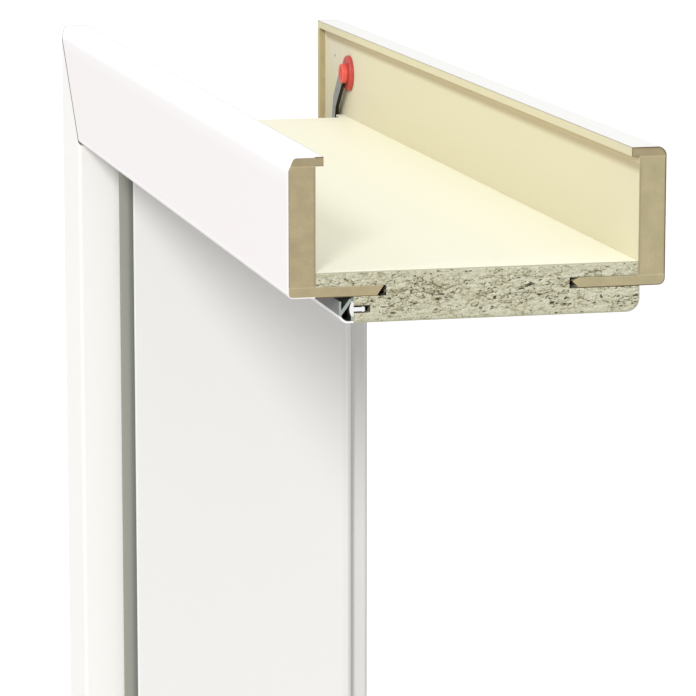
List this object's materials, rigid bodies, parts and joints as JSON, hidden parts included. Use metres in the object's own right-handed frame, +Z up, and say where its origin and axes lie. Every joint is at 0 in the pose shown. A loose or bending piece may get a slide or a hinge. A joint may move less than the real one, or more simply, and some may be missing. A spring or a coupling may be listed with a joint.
{
  "type": "door frame corner cutaway",
  "caption": "Wood door lining frame shown as a cutaway: full jamb, mitred corner and sawn head, with a fixed and a sliding architrave, door seal and mitre hook locks.",
  "frame": {"origin": "foot of the jamb lining's wall side face, at mid depth between the outer faces of the architraves", "axes": "+Z up; +X from the wall beside the doorway into the doorway, along the head; +Y through the wall from the seal side to the side whose architrave slides"},
  "size_m": [0.6, 0.1666, 2.0563],
  "materials": {
    "white_foil": "satin white foil",
    "white_facing": "satin white laminate",
    "cream_backing": "smooth cream backing sheet",
    "chipboard": "sawn chipboard",
    "mdf": "raw fibreboard",
    "seal_rubber": "matt grey",
    "white_seal": "matt white",
    "red_plastic": "moulded red",
    "zinc_steel": "zinc plated"
  },
  "bodies": {
    "fixed_frame": {"front_cam": "red_plastic", "front_collar": "red_plastic", "front_hook": "zinc_steel", "front_stud": "zinc_steel", "head_front_architrave_board": "mdf", "head_front_architrave_foil": "white_foil", "head_front_architrave_lip": "mdf", "head_front_architrave_sheet": "cream_backing", "head_front_architrave_tongue": "mdf", "head_lining_backing": "cream_backing", "head_lining_core": "chipboard", "head_lining_facing": "white_facing", "head_seal": "seal_rubber", "head_seal_web": "white_seal", "jamb_front_architrave_board": "mdf", "jamb_front_architrave_foil": "white_foil", "jamb_front_architrave_lip": "mdf", "jamb_front_architrave_sheet": "cream_backing", "jamb_front_architrave_tongue": "mdf", "jamb_lining_backing": "cream_backing", "jamb_lining_core": "chipboard", "jamb_lining_facing": "white_facing", "jamb_seal": "seal_rubber", "jamb_seal_web": "white_seal"},
    "rear_architrave": {"head_rear_architrave_board": "mdf", "head_rear_architrave_foil": "white_foil", "head_rear_architrave_lip": "mdf", "head_rear_architrave_sheet": "cream_backing", "head_rear_architrave_tongue": "mdf", "jamb_rear_architrave_board": "mdf", "jamb_rear_architrave_foil": "white_foil", "jamb_rear_architrave_lip": "mdf", "jamb_rear_architrave_sheet": "cream_backing", "jamb_rear_architrave_tongue": "mdf", "rear_collar": "red_plastic", "rear_hook": "zinc_steel", "rear_stud": "zinc_steel"},
    "rear_cam": {"rear_cam": "red_plastic"}
  },
  "joints": [
    {"name": "rear_architrave_slide", "type": "slide", "parent": "fixed_frame", "child": "rear_architrave", "axis": [0, 1, 0], "range_m": [0, 0.02]},
    {"name": "rear_cam_turn", "type": "hinge", "parent": "rear_architrave", "child": "rear_cam", "pos_m": [0.0167, 0.07115, 2.0323], "axis": [0, 1, 0], "range_deg": [-180, 0]}
  ]
}
